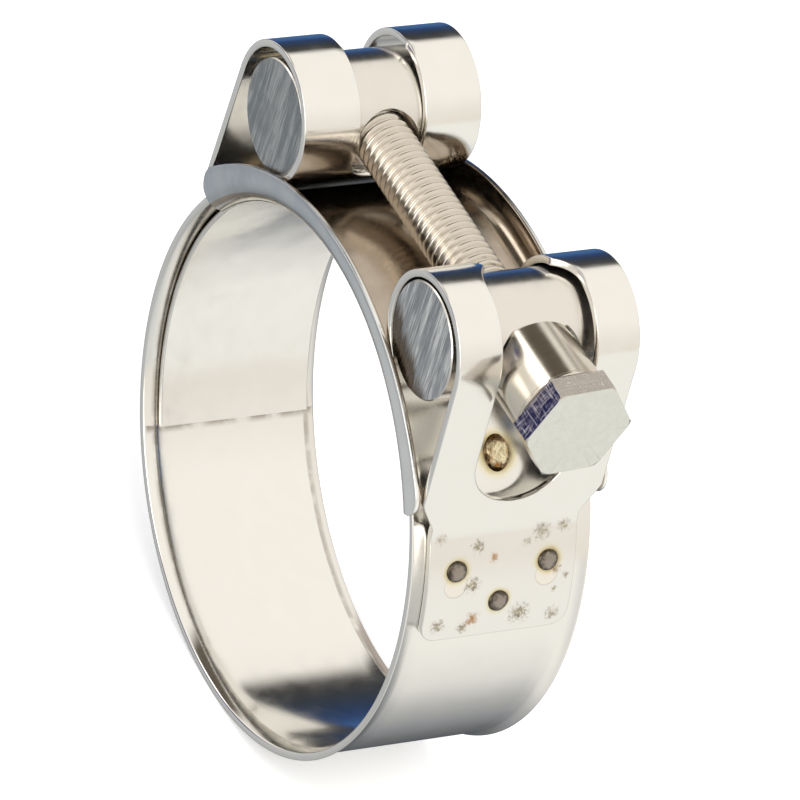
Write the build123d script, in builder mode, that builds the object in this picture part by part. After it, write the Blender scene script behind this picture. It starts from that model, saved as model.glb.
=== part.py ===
"""Bolt drive hose clamp: a stainless band with a loop at each end, an inner bridge over the
gap between the ends, a round bar that turns in each loop, and a bolt with a spacer sleeve
that draws the two bars together.

Frame: the hose runs along Y through the origin, +Z points to the middle of the gap, and
the bolt runs along X, with its head on the +X side. All lengths are in millimetres and
all angles in degrees, measured from +Z towards +X.
"""

import os
from math import acos, atan2, cos, degrees, hypot, radians, sin, tan

from build123d import *

# Band and bore
bore_radius = 27.2
band_width = 20.0
band_thickness = 0.8
band_corner_radius = 1.8
flare_width = 1.4
flare_rise = 0.5

# Bridge, the inner tongue with raised side walls
bridge_thickness = 0.6
bridge_to_band_gap = 0.2
bridge_side_gap = 0.1
bridge_bend_radius = 0.4
bridge_half_angle = 58.0
bridge_wall_height = 2.6
bridge_wall_arc_radius = 33.5
bridge_wall_corner = 2.5
tongue_width = 17.2
tongue_end_angle = 121.6

# Cross bars in the band's loops
bar_diameter = 11.8
bar_end_inset = 0.2
bar_span = 34.7
bar_height = 31.9
bar_edge_chamfer = 0.25
bar_seat_gap = 0.06

# Band loops and the straps that come down from them
loop_inner_radius = 6.55
strap_landing_angle = 62.0
strap_bend_radius = 2.0
tail_end_angle = 84.2
tail_width = 16.5
tail_gap = 0.05
neck_top = 18.0
neck_length = 3.2
neck_corner_radius = 1.0

# Slots in the loops
sleeve_slot_gap = 0.43
bolt_slot_gap = 0.7
window_bottom = 17.3
nut_window_bottom = 19.8
gap_slot_drop = 4.6
sleeve_slot_lead = 0.9

# Bolt and spacer sleeve
thread_diameter = 5.9
bolt_length = 53.0
bolt_tip_chamfer = 0.7
head_across_flats = 10.0
head_height = 3.1
head_chamfer_angle = 30.0
head_top_share = 0.95
head_turn = 4.0
washer_face_height = 0.4
washer_face_diameter = 9.2
sleeve_diameter = 9.6
sleeve_bore = 6.4
sleeve_length = 7.7
sleeve_seat_offset = 4.4
sleeve_hole_gap = 0.2
sleeve_edge_chamfer = 0.3
bolt_running_gap = 0.08
head_gap = 0.03
nut_mouth_diameter = 7.2
nut_mouth_depth = 1.6

# Welds
tail_weld_diameter = 1.9
tail_weld_rise = 0.45
tail_weld_side_angle = 69.5
tail_weld_side_offset = 5.1
tail_weld_middle_angle = 76.8
root_weld_lead = 3.14
root_weld_width = 2.8
root_weld_length = 3.8
root_weld_rise = 0.7
root_weld_edge_radius = 0.55

# Worked out from the sizes above
half_width = band_width / 2
bridge_outer_radius = bore_radius + bridge_thickness
ring_inner_radius = bridge_outer_radius + bridge_to_band_gap
ring_outer_radius = ring_inner_radius + band_thickness
tail_outer_radius = ring_outer_radius + tail_gap + band_thickness
loop_outer_radius = loop_inner_radius + band_thickness
bar_radius = bar_diameter / 2
bar_length = band_width - 2 * bar_end_inset
bar_x = bar_span / 2
loop_x = bar_x + loop_inner_radius - bar_radius - bar_seat_gap
loop_centre = (loop_x, bar_height)
bridge_half_width = half_width + bridge_side_gap + bridge_thickness
bolt_radius = thread_diameter / 2
sleeve_slot_half = sleeve_diameter / 2 + sleeve_slot_gap
bolt_slot_half = bolt_radius + bolt_slot_gap
sleeve_seat_x = bar_x + sleeve_seat_offset
head_seat_x = sleeve_seat_x + sleeve_length + head_gap
far_out = 2 * ring_outer_radius


def around(radius, angle):
    """X and Z of a point at this angle, from +Z towards +X."""
    return (radius * sin(radians(angle)), radius * cos(radians(angle)))


# The strip leaves the ring along the line that touches ring and loop on opposite sides.
loop_angle = degrees(atan2(loop_x, bar_height))
loop_distance = hypot(loop_x, bar_height)
leave_angle = loop_angle + degrees(acos((ring_inner_radius + loop_outer_radius) / loop_distance))

root_weld_angle = leave_angle + root_weld_lead


def radial_plane(angle):
    """Plane through the hose axis, its X pointing outwards at this angle."""
    x, z = around(1, angle)
    return Plane(origin=(0, 0, 0), x_dir=(x, 0, z), z_dir=(-z, 0, x))


def strip_profile():
    """One end of the strip seen along Y: off the ring, over the bar, down to the tail."""
    leave = around(ring_inner_radius, leave_angle)
    normal_x, normal_z = around(1, leave_angle)
    loop_start = (loop_x - loop_outer_radius * normal_x, bar_height - loop_outer_radius * normal_z)
    landing = around(tail_outer_radius, strap_landing_angle)
    to_landing = (landing[0] - loop_x, landing[1] - bar_height)
    strap_angle = degrees(
        atan2(to_landing[1], to_landing[0]) + acos(loop_outer_radius / hypot(*to_landing))
    )
    strap_top = (
        loop_x + loop_outer_radius * cos(radians(strap_angle)),
        bar_height + loop_outer_radius * sin(radians(strap_angle)),
    )
    start_angle = 270 - leave_angle
    with BuildSketch(Plane.XZ) as profile:
        with BuildLine():
            Line(leave, loop_start)
            CenterArc(loop_centre, loop_outer_radius, start_angle, strap_angle - start_angle)
            Line(strap_top, landing)
            CenterArc(
                (0, 0),
                tail_outer_radius,
                90 - strap_landing_angle,
                strap_landing_angle - tail_end_angle,
            )
            offset(amount=band_thickness, side=Side.RIGHT, kind=Kind.INTERSECTION)
        make_face()
        fold = profile.vertices().sort_by_distance(landing)[:2]
        fillet(fold, strap_bend_radius)
    return profile.sketch


def strap_outline():
    """Outline of strap, neck and tail, seen along X, as the part that stays."""
    tail_end = around(tail_outer_radius, tail_end_angle)[1]
    neck_bottom = neck_top - neck_length
    half_tail = tail_width / 2
    with BuildSketch(Plane.YZ) as outline:
        with BuildLine():
            Polyline(
                (-half_width, far_out),
                (-half_width, neck_top),
                (-half_tail, neck_bottom),
                (-half_tail, tail_end),
                (half_tail, tail_end),
                (half_tail, neck_bottom),
                (half_width, neck_top),
                (half_width, far_out),
                close=True,
            )
        make_face()
        corners = outline.vertices()
        fillet(corners.group_by(Axis.Y)[0], band_corner_radius)
        neck = [v for v in outline.vertices() if neck_bottom - 0.1 < v.Y < neck_top + 0.1]
        fillet(neck, neck_corner_radius)
    return outline.sketch


def beside_tail():
    """What is cut away from the full-width strip beside the neck and the tail."""
    waste_top = neck_top + neck_corner_radius
    with BuildPart() as waste:
        with BuildSketch(Plane.YZ.offset(loop_x + loop_outer_radius / 2)):
            with Locations((0, waste_top / 2)):
                Rectangle(2 * band_width, waste_top)
        extrude(amount=far_out)
        extrude(strap_outline(), 2 * far_out, mode=Mode.SUBTRACT)
    return waste.part


def flared_section(angle):
    """Section of the ring, its two edges turned away from the hose."""
    flat = half_width - flare_width
    with BuildSketch(radial_plane(angle)) as section:
        with BuildLine():
            Polyline(
                (ring_inner_radius + flare_rise, -half_width),
                (ring_inner_radius, -flat),
                (ring_inner_radius, flat),
                (ring_inner_radius + flare_rise, half_width),
                (ring_outer_radius + flare_rise, half_width),
                (ring_outer_radius, flat),
                (ring_outer_radius, -flat),
                (ring_outer_radius + flare_rise, -half_width),
                close=True,
            )
        make_face()
        bends = [v for v in section.vertices() if abs(v.Y) < half_width - flare_width / 2]
        fillet(bends, flare_width / 2)
    return section.sketch


def slot_upwards(half, bottom, plane):
    """Slot in a plane parallel to YZ, round at the bottom and open at the top."""
    with BuildSketch(plane) as slot:
        with Locations((0, bottom + half)):
            Circle(half)
        with Locations((0, (bottom + half + far_out) / 2)):
            Rectangle(2 * half, far_out - bottom - half)
    return slot.sketch


def cut_loop(side, outer_half, inner_half, outer_bottom):
    """Slot of one loop: outer window, top and gap side. side is 1 at the bolt head."""
    reach = loop_outer_radius + 4
    strap_from = loop_x + loop_outer_radius / 2
    outer_plane = Plane.YZ.offset(side * strap_from)
    extrude(slot_upwards(outer_half, outer_bottom, outer_plane), side * far_out, mode=Mode.SUBTRACT)
    inner_plane = Plane.YZ.offset(side * (loop_x - reach))
    inner_slot = slot_upwards(inner_half, bar_height - gap_slot_drop, inner_plane)
    extrude(inner_slot, side * reach, mode=Mode.SUBTRACT)
    top_start = side * (loop_x + sleeve_slot_lead)
    with BuildSketch(Plane.XY.offset(bar_height)) as top:
        with Locations((top_start, 0)):
            Circle(outer_half)
        with Locations((top_start + side * reach / 2, 0)):
            Rectangle(reach, 2 * outer_half)
    extrude(top.sketch, far_out, mode=Mode.SUBTRACT)


def bridge_channel(angle):
    """Section of the bridge: a floor on the hose side and two side walls."""
    wall_top = 2 * far_out
    wall = bridge_half_width - bridge_thickness
    with BuildSketch(radial_plane(angle)) as channel:
        with BuildLine():
            Polyline(
                (wall_top, -bridge_half_width),
                (bore_radius, -bridge_half_width),
                (bore_radius, bridge_half_width),
                (wall_top, bridge_half_width),
                (wall_top, wall),
                (bridge_outer_radius, wall),
                (bridge_outer_radius, -wall),
                (wall_top, -wall),
                close=True,
            )
        make_face()
        fillet(channel.vertices().group_by(Axis.X)[0], bridge_bend_radius + bridge_thickness)
        inner_bends = [v for v in channel.vertices() if abs(v.X - bridge_outer_radius) < 0.01]
        fillet(inner_bends, bridge_bend_radius)
    return channel.sketch


def bridge_side_outline():
    """Outline of the bridge's side walls seen along Y, their outer corners rounded."""
    arc_centre = bridge_outer_radius + bridge_wall_height - bridge_wall_arc_radius
    reach = 2 * far_out
    with BuildSketch(Plane.XZ) as outline:
        with BuildLine():
            Polyline(
                (0, 0),
                around(reach, -bridge_half_angle),
                (0, 2 * reach),
                around(reach, bridge_half_angle),
                close=True,
            )
        make_face()
        with Locations((0, arc_centre)):
            Circle(bridge_wall_arc_radius, mode=Mode.INTERSECT)
        fillet(outline.vertices().sort_by_distance((0, 0, 0))[-2:], bridge_wall_corner)
    return outline.sketch


def tail_welds(side):
    """Three domed spot welds on one tail, side is 1 at the bolt head."""
    spot_radius = tail_weld_diameter / 2
    dome_radius = (spot_radius**2 + tail_weld_rise**2) / (2 * tail_weld_rise)
    centre_radius = tail_outer_radius + tail_weld_rise - dome_radius
    side_x, side_z = around(centre_radius, side * tail_weld_side_angle)
    middle_x, middle_z = around(centre_radius, side * tail_weld_middle_angle)
    with BuildPart() as welds:
        with Locations(
            (side_x, -tail_weld_side_offset, side_z),
            (middle_x, 0, middle_z),
            (side_x, tail_weld_side_offset, side_z),
        ):
            Sphere(dome_radius)
        with Locations(Rotation(90, 0, 0)):
            Cylinder(tail_outer_radius, band_width, mode=Mode.SUBTRACT)
    return welds.part


def root_weld(side):
    """Oval weld that holds the strip down where it leaves the ring."""
    x, z = around(1, side * root_weld_angle)
    base = Plane(origin=(0, 0, 0), x_dir=(0, 1, 0), z_dir=(x, 0, z))
    with BuildPart() as weld:
        with BuildSketch(base.offset(ring_inner_radius)):
            SlotOverall(root_weld_length, root_weld_width, rotation=90)
        extrude(amount=band_thickness + root_weld_rise)
        crown = weld.faces().sort_by(Axis((0, 0, 0), (x, 0, z)))[-1]
        fillet(crown.edges(), root_weld_edge_radius)
        with Locations(Rotation(90, 0, 0)):
            Cylinder(ring_outer_radius, band_width, mode=Mode.SUBTRACT)
    return weld.part


def cross_bar(side):
    """Solid round bar that lies in one loop."""
    with BuildPart() as bar:
        with BuildSketch(Plane.XZ):
            with Locations((side * bar_x, bar_height)):
                Circle(bar_radius)
        extrude(amount=bar_length / 2, both=True)
        chamfer(bar.edges(), bar_edge_chamfer)
    return bar.part


def bolt_circle(x, radius):
    """Circle around the bolt's axis, in the plane at this X."""
    with BuildSketch(Plane.YZ.offset(x)) as circle:
        with Locations((0, bar_height)):
            Circle(radius)
    return circle.sketch


# Band: both looped ends, then the flared ring that joins them
with BuildPart() as band:
    extrude(strip_profile(), half_width, both=True)
    add(beside_tail(), mode=Mode.SUBTRACT)
    mirror(about=Plane.YZ)
    cut_loop(1, sleeve_slot_half, bolt_slot_half, window_bottom)
    cut_loop(-1, bolt_slot_half, bolt_slot_half, nut_window_bottom)
    revolve(flared_section(leave_angle), Axis.Y, 360 - 2 * leave_angle)
band.part.label = "band"

# Bridge: a channel over the gap, and a plain tongue that slides inside the band
with BuildPart() as bridge:
    revolve(bridge_channel(-bridge_half_angle), Axis.Y, 2 * bridge_half_angle)
    extrude(bridge_side_outline(), band_width, both=True, mode=Mode.INTERSECT)
    with BuildSketch(radial_plane(-tongue_end_angle)) as tongue:
        with Locations((bore_radius + bridge_thickness / 2, 0)):
            Rectangle(bridge_thickness, tongue_width)
    revolve(tongue.sketch, Axis.Y, tongue_end_angle - bridge_half_angle)
bridge.part.label = "bridge"

# Head bar: a shallow wide hole from outside seats the sleeve, a plain hole passes the bolt
bolt_hole_radius = bolt_radius + bolt_running_gap
with BuildPart() as head_bar:
    add(cross_bar(1))
    sleeve_hole = bolt_circle(sleeve_seat_x, sleeve_diameter / 2 + sleeve_hole_gap)
    extrude(sleeve_hole, bar_diameter, mode=Mode.SUBTRACT)
    extrude(bolt_circle(0, bolt_hole_radius), bar_span, mode=Mode.SUBTRACT)
head_bar.part.label = "head_bar"

# Nut bar: the threaded hole, opened out where the bolt enters
with BuildPart() as nut_bar:
    add(cross_bar(-1))
    extrude(bolt_circle(0, bolt_hole_radius), -bar_span, mode=Mode.SUBTRACT)
    mouth_x = -bar_x + bar_radius - nut_mouth_depth
    extrude(bolt_circle(mouth_x, nut_mouth_diameter / 2), bar_radius, mode=Mode.SUBTRACT)
nut_bar.part.label = "nut_bar"

# Spacer sleeve between the head bar and the bolt's head
with BuildPart() as spacer_sleeve:
    extrude(bolt_circle(sleeve_seat_x, sleeve_diameter / 2), sleeve_length)
    chamfer(spacer_sleeve.edges().filter_by(GeomType.CIRCLE), sleeve_edge_chamfer)
    extrude(bolt_circle(sleeve_seat_x, sleeve_bore / 2), sleeve_length, mode=Mode.SUBTRACT)
spacer_sleeve.part.label = "spacer_sleeve"

# Bolt: hexagon head with a washer face, plain shank at the thread's outer size
head_top_x = head_seat_x + head_height
head_corner_radius = head_across_flats / 2 / cos(radians(30))
head_top_radius = head_across_flats / 2 * head_top_share
head_chamfer = (head_corner_radius - head_top_radius) * tan(radians(head_chamfer_angle))
bolt_axis = Axis((0, 0, bar_height), (1, 0, 0))
with BuildPart() as bolt:
    with BuildSketch(Plane.YZ.offset(head_seat_x + washer_face_height)):
        with Locations((0, bar_height)):
            RegularPolygon(head_across_flats / 2, 6, major_radius=False, rotation=head_turn)
    extrude(amount=head_height - washer_face_height)
    with BuildSketch(Plane.XZ) as turned:
        Polygon(
            (head_seat_x, bar_height),
            (head_seat_x, bar_height + head_corner_radius),
            (head_top_x - head_chamfer, bar_height + head_corner_radius),
            (head_top_x, bar_height + head_top_radius),
            (head_top_x, bar_height),
            align=None,
        )
    revolve(turned.sketch, bolt_axis, mode=Mode.INTERSECT)
    extrude(bolt_circle(head_seat_x, washer_face_diameter / 2), washer_face_height)
    extrude(bolt_circle(head_seat_x, bolt_radius), -bolt_length)
    tip = bolt.faces().sort_by(Axis.X)[0]
    chamfer(tip.edges(), bolt_tip_chamfer)
bolt.part.label = "bolt"

# Welds: three spots on each tail, one oval at each root
with BuildPart() as head_tail_welds:
    add(tail_welds(1))
head_tail_welds.part.label = "head_tail_welds"

with BuildPart() as nut_tail_welds:
    add(tail_welds(-1))
nut_tail_welds.part.label = "nut_tail_welds"

with BuildPart() as head_root_weld:
    add(root_weld(1))
head_root_weld.part.label = "head_root_weld"

with BuildPart() as nut_root_weld:
    add(root_weld(-1))
nut_root_weld.part.label = "nut_root_weld"

os.makedirs("parts", exist_ok=True)
export_step(band.part, "parts/band.step")
export_step(bridge.part, "parts/bridge.step")
export_step(head_bar.part, "parts/head_bar.step")
export_step(nut_bar.part, "parts/nut_bar.step")
export_step(spacer_sleeve.part, "parts/spacer_sleeve.step")
export_step(bolt.part, "parts/bolt.step")
export_step(head_tail_welds.part, "parts/head_tail_welds.step")
export_step(nut_tail_welds.part, "parts/nut_tail_welds.step")
export_step(head_root_weld.part, "parts/head_root_weld.step")
export_step(nut_root_weld.part, "parts/nut_root_weld.step")
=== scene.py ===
import math

import bmesh
import bpy
from mathutils import Matrix, Vector, noise


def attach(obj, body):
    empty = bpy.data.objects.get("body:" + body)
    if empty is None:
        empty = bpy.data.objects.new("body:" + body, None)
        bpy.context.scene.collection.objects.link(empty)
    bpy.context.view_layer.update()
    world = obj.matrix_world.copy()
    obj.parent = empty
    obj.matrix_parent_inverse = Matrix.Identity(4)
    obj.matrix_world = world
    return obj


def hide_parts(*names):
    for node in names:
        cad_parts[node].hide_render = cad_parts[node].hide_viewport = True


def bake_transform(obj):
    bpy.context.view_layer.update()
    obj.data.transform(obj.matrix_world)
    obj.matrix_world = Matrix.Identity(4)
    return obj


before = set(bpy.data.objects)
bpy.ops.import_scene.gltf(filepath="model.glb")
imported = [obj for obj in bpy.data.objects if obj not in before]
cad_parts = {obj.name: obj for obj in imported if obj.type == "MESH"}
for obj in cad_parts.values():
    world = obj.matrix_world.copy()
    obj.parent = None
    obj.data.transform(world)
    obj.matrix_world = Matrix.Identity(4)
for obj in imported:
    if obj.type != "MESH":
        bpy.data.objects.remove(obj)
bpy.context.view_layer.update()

MM = 0.001

# Sizes of the clamp in millimetres, the same as the solids
BAND_HALF_WIDTH = 10.0
BAND_THICKNESS = 0.8
RING_INNER = 28.0
RING_OUTER = 28.8
FLARE_WIDTH = 1.5
FLARE_RISE = 0.5
TAIL_OUTER = 29.65
TAIL_END_ANGLE = 84.2
TAIL_HALF_WIDTH = 8.25
TAIL_CORNER = 1.8
NECK_TOP = 18.0
NECK_BOTTOM = 14.8
LANDING_ANGLE = 62.0
FOLD_REACH = 0.9
BAR_X = 17.35
BAR_Z = 31.9
BAR_RADIUS = 5.9
BAR_HALF_LENGTH = 9.8
BAR_CHAMFER = 0.12
LOOP_X = 17.94
LOOP_OUTER = 7.35
LEAVE_ANGLE = 44.36
SLEEVE_SLOT = 5.23
BOLT_SLOT = 3.65
HEAD_WINDOW_BOTTOM = 17.3
NUT_WINDOW_BOTTOM = 19.8
GAP_SLOT_BOTTOM = 27.3
SLOT_LEAD_X = 18.84
BRIDGE_FLOOR = 27.5
BRIDGE_THICKNESS = 0.6
BRIDGE_HEAD_ANGLE = 57.3
BRIDGE_NUT_ANGLE = 55.6
BRIDGE_WALL_Y = 10.4
BRIDGE_BEND = 1.7
BRIDGE_ARC = 33.5
BRIDGE_ARC_Z = -3.1
BRIDGE_CORNER = 2.5
TONGUE_HALF_WIDTH = 8.6
TONGUE_END_ANGLE = 121.6
THREAD_CREST = 2.95
THREAD_ROOT = 2.44
THREAD_PITCH = 1.0
BOLT_TIP_X = -23.52
HEAD_SEAT_X = 29.48
HEAD_TOP_X = 32.58
HEAD_FLATS = 10.0
HEAD_TURN = 4.0
SLEEVE_X = 21.75
SLEEVE_LENGTH = 7.7
SLEEVE_RADIUS = 4.8
SLEEVE_HOLE = 5.0
SLEEVE_BORE = 3.2
HOLE_RADIUS = 3.03
EDGE_STEPS = [0.0, 0.02, 0.05, 0.09, 0.14]
WELD_ANGLE = 69.5
SMUDGES = (
    (-7.1, 13.7, 1.1, 0.5, "oil"),
    (-2.9, 12.5, 1.3, 0.75, "oil"),
    (-1.0, 11.3, 0.9, 0.8, "ochre"),
    (4.3, 13.3, 1.7, 0.6, "oil"),
    (6.7, 13.6, 1.2, 0.7, "oil"),
    (2.6, 12.4, 0.9, 0.5, "oil"),
    (-3.2, 8.8, 1.4, 0.8, "oil"),
    (-6.5, 4.7, 1.3, 0.7, "oil"),
    (-2.7, 5.0, 1.3, 0.9, "ochre"),
    (-3.6, 4.2, 1.1, 0.8, "oil"),
    (2.6, 5.1, 1.9, 0.75, "oil"),
    (6.4, 4.5, 1.3, 0.65, "oil"),
    (7.3, 8.6, 0.7, 0.7, "oil"),
    (6.1, 7.3, 0.6, 0.9, "oil"),
    (6.2, 9.4, 0.9, 0.8, "oil"),
)
WELD_SIDE = 5.1
BEAD_RADIUS = 1.12
BEAD_RISE = 0.45
WELD_MIDDLE_ANGLE = 76.8
ROOT_ANGLE = 47.5


def around(radius, angle):
    """X and Z at this angle from +Z towards +X."""
    return radius * math.sin(math.radians(angle)), radius * math.cos(math.radians(angle))


def smooth(low, high, value):
    t = min(max((value - low) / (high - low), 0.0), 1.0)
    return t * t * (3 - 2 * t)


# Node helpers


def add_node(tree, kind, links=None, **settings):
    """A node with its settings, and its inputs linked or set by name or number."""
    node = tree.nodes.new(kind)
    for key, value in settings.items():
        setattr(node, key, value)
    for key, value in (links or {}).items():
        if isinstance(value, bpy.types.NodeSocket):
            tree.links.new(value, node.inputs[key])
        else:
            node.inputs[key].default_value = value
    return node


def math_node(tree, operation, first, second=0.0, third=0.0, clamp=False):
    node = add_node(
        tree, "ShaderNodeMath", {0: first, 1: second, 2: third}, operation=operation
    )
    node.use_clamp = clamp
    return node.outputs[0]


def ramp_node(tree, factor, stops):
    node = add_node(tree, "ShaderNodeValToRGB", {0: factor})
    elements = node.color_ramp.elements
    while len(elements) < len(stops):
        elements.new(0.5)
    for element, (place, colour) in zip(elements, stops):
        element.position = place
        element.color = (*colour, 1.0)
    return node.outputs["Color"]


def mix_colour(tree, factor, first, second, blend="MIX"):
    node = add_node(tree, "ShaderNodeMix", data_type="RGBA", blend_type=blend)
    for key, value in ((0, factor), (6, first), (7, second)):
        if isinstance(value, bpy.types.NodeSocket):
            tree.links.new(value, node.inputs[key])
        else:
            node.inputs[key].default_value = value if key == 0 else (*value, 1.0)
    return node.outputs[2]


def between(tree, value, low, high):
    """0 below low and 1 above high, smooth in between."""
    node = add_node(
        tree,
        "ShaderNodeMapRange",
        {"Value": value, "From Min": low, "From Max": high},
        interpolation_type="SMOOTHSTEP",
    )
    return node.outputs["Result"]


def new_group(name, inputs, outputs, kind_of_tree="ShaderNodeTree"):
    tree = bpy.data.node_groups.new(name, kind_of_tree)
    for label, kind, value in inputs:
        socket = tree.interface.new_socket(label, in_out="INPUT", socket_type=kind)
        if value is not None:
            socket.default_value = value
    for label, kind in outputs:
        tree.interface.new_socket(label, in_out="OUTPUT", socket_type=kind)
    return tree, tree.nodes.new("NodeGroupInput"), tree.nodes.new("NodeGroupOutput")


def scratch_group():
    """Fine lines along one direction: a height for bump and a mask."""
    tree, entry, leave = new_group(
        "fine_lines",
        [
            ("Vector", "NodeSocketVector", (0, 0, 0)),
            ("Stretch", "NodeSocketVector", (1, 1, 1)),
            ("Turn", "NodeSocketVector", (0, 0, 0)),
            ("Contrast", "NodeSocketFloat", 0.5),
        ],
        [("Height", "NodeSocketFloat"), ("Mask", "NodeSocketFloat")],
    )
    turned = add_node(
        tree,
        "ShaderNodeMapping",
        {"Vector": entry.outputs["Vector"], "Rotation": entry.outputs["Turn"]},
    )
    stretched = add_node(
        tree,
        "ShaderNodeVectorMath",
        {0: turned.outputs[0], 1: entry.outputs["Stretch"]},
        operation="MULTIPLY",
    )
    lines = add_node(
        tree,
        "ShaderNodeTexNoise",
        {"Vector": stretched.outputs[0], "Scale": 1.0, "Detail": 3.0, "Roughness": 0.65},
    )
    high = math_node(tree, "ADD", 0.5, math_node(tree, "MULTIPLY", entry.outputs["Contrast"], 0.4))
    mask = add_node(
        tree,
        "ShaderNodeMapRange",
        {"Value": lines.outputs["Fac"], "From Min": 0.45, "From Max": high},
    )
    tree.links.new(lines.outputs["Fac"], leave.inputs["Height"])
    tree.links.new(mask.outputs["Result"], leave.inputs["Mask"])
    return tree


def spot_group():
    """How near a point is to a spot on either tail: 1 at its centre, 0 at its reach."""
    tree, entry, leave = new_group(
        "near_spot",
        [
            ("Vector", "NodeSocketVector", (0, 0, 0)),
            ("Centre", "NodeSocketVector", (0, 0, 0)),
            ("Reach", "NodeSocketFloat", 0.001),
        ],
        [("Nearness", "NodeSocketFloat")],
    )
    mirrored = add_node(
        tree, "ShaderNodeVectorMath", {0: entry.outputs["Vector"]}, operation="ABSOLUTE"
    )
    parts = add_node(tree, "ShaderNodeSeparateXYZ", {0: entry.outputs["Vector"]})
    sides = add_node(tree, "ShaderNodeSeparateXYZ", {0: mirrored.outputs[0]})
    folded = add_node(
        tree,
        "ShaderNodeCombineXYZ",
        {0: sides.outputs[0], 1: parts.outputs[1], 2: parts.outputs[2]},
    )
    away = add_node(
        tree,
        "ShaderNodeVectorMath",
        {0: folded.outputs[0], 1: entry.outputs["Centre"]},
        operation="DISTANCE",
    )
    share = math_node(tree, "DIVIDE", away.outputs["Value"], entry.outputs["Reach"])
    near = math_node(tree, "SUBTRACT", 1.0, share, clamp=True)
    tree.links.new(near, leave.inputs["Nearness"])
    return tree


def handling_group():
    """Slight waviness and dull patches of worked sheet metal."""
    tree, entry, leave = new_group(
        "worked_metal",
        [
            ("Vector", "NodeSocketVector", (0, 0, 0)),
            ("Wave Scale", "NodeSocketFloat", 120.0),
            ("Patch Scale", "NodeSocketFloat", 300.0),
        ],
        [("Wave", "NodeSocketFloat"), ("Patches", "NodeSocketFloat")],
    )
    wave = add_node(
        tree,
        "ShaderNodeTexNoise",
        {
            "Vector": entry.outputs["Vector"],
            "Scale": entry.outputs["Wave Scale"],
            "Detail": 1.0,
        },
    )
    patch = add_node(
        tree,
        "ShaderNodeTexNoise",
        {
            "Vector": entry.outputs["Vector"],
            "Scale": entry.outputs["Patch Scale"],
            "Detail": 5.0,
            "Roughness": 0.6,
        },
    )
    tree.links.new(wave.outputs["Fac"], leave.inputs["Wave"])
    tree.links.new(patch.outputs["Fac"], leave.inputs["Patches"])
    return tree


FINE_LINES = scratch_group()
NEAR_SPOT = spot_group()
WORKED_METAL = handling_group()


def use_group(tree, group, links):
    return add_node(tree, "ShaderNodeGroup", links, node_tree=group)


def start_material(name, metallic):
    material = bpy.data.materials.new(name)
    material.use_nodes = True
    tree = material.node_tree
    shader = tree.nodes["Principled BSDF"]
    shader.inputs["Metallic"].default_value = metallic
    place = tree.nodes.new("ShaderNodeTexCoord").outputs["Object"]
    return material, tree, shader, place


def roughness_from(tree, shader, factor, low, high):
    scaled = add_node(
        tree,
        "ShaderNodeMapRange",
        {"Value": factor, "From Min": 0.3, "From Max": 0.7, "To Min": low, "To Max": high},
    )
    tree.links.new(scaled.outputs["Result"], shader.inputs["Roughness"])


def bump_from(tree, shader, heights):
    """Chain of bumps, each a height, its strength and its depth in metres."""
    normal = None
    for height, strength, depth in heights:
        links = {"Height": height, "Strength": strength, "Distance": depth}
        if normal is not None:
            links["Normal"] = normal
        normal = add_node(tree, "ShaderNodeBump", links).outputs["Normal"]
    tree.links.new(normal, shader.inputs["Normal"])


def turned_steel(name, colour, stretch, low, high, line_depth):
    """Bright steel with fine lines from turning or rolling."""
    material, tree, shader, place = start_material(name, 1.0)
    lines = use_group(tree, FINE_LINES, {"Vector": place, "Stretch": stretch, "Contrast": 0.5})
    worn = use_group(tree, WORKED_METAL, {"Vector": place})
    tone = mix_colour(tree, worn.outputs["Patches"], colour, tuple(c * 0.93 for c in colour))
    tree.links.new(tone, shader.inputs["Base Color"])
    blend = math_node(tree, "MULTIPLY_ADD", lines.outputs["Height"], 0.5, 0.0)
    blend = math_node(tree, "MULTIPLY_ADD", worn.outputs["Patches"], 0.5, blend)
    roughness_from(tree, shader, blend, low, high)
    bump_from(
        tree,
        shader,
        [
            (worn.outputs["Wave"], 0.35, 0.00006),
            (lines.outputs["Height"], 0.5, line_depth),
        ],
    )
    return material


def weld_place(radius, angle, side):
    x, z = around(radius, angle)
    return (x * MM, side * MM, z * MM)


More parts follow.
